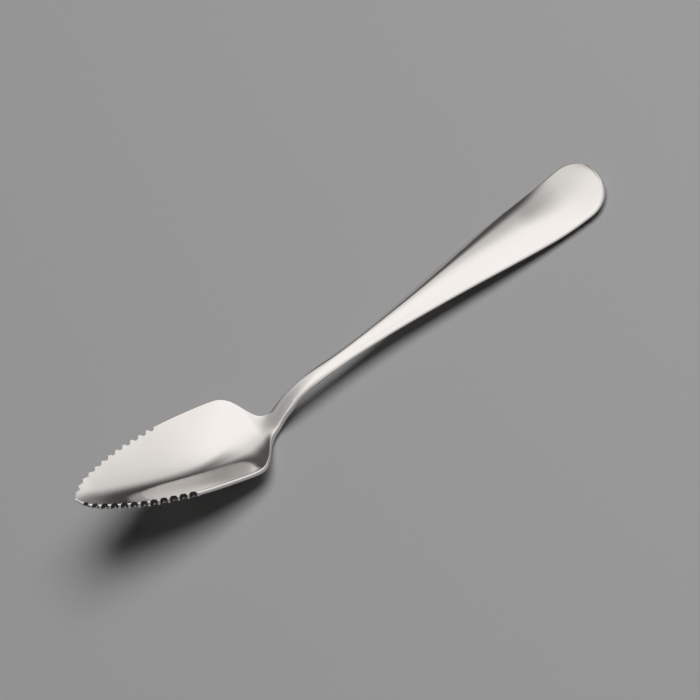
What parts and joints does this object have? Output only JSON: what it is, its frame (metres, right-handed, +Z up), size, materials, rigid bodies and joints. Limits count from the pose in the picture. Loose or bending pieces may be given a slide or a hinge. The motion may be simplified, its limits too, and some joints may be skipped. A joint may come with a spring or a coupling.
{
  "type": "grapefruit spoon",
  "caption": "Polished steel spoon with a pointed bowl, scalloped teeth along its front edges for cutting citrus segments, a slim raised neck and a flared hollow handle.",
  "frame": {"origin": "middle of the spoon's bounding box, on the table that the keel of the bowl and the back of the handle rest on", "axes": "+X runs from the tip of the bowl to the end of the handle, +Z is up, and the spoon is symmetric about the XZ plane"},
  "size_m": [0.1526, 0.0302, 0.0226],
  "materials": {
    "bowl_steel": "mirror-polished stainless steel, with fine polishing marks along the bowl and bright ground edges on the teeth",
    "handle_steel": "mirror-polished stainless steel, with fine lengthwise polishing marks"
  },
  "bodies": {
    "root": {"serrated_bowl": "bowl_steel", "handle_upper_shell": "handle_steel", "handle_lower_shell": "handle_steel"}
  },
  "joints": []
}
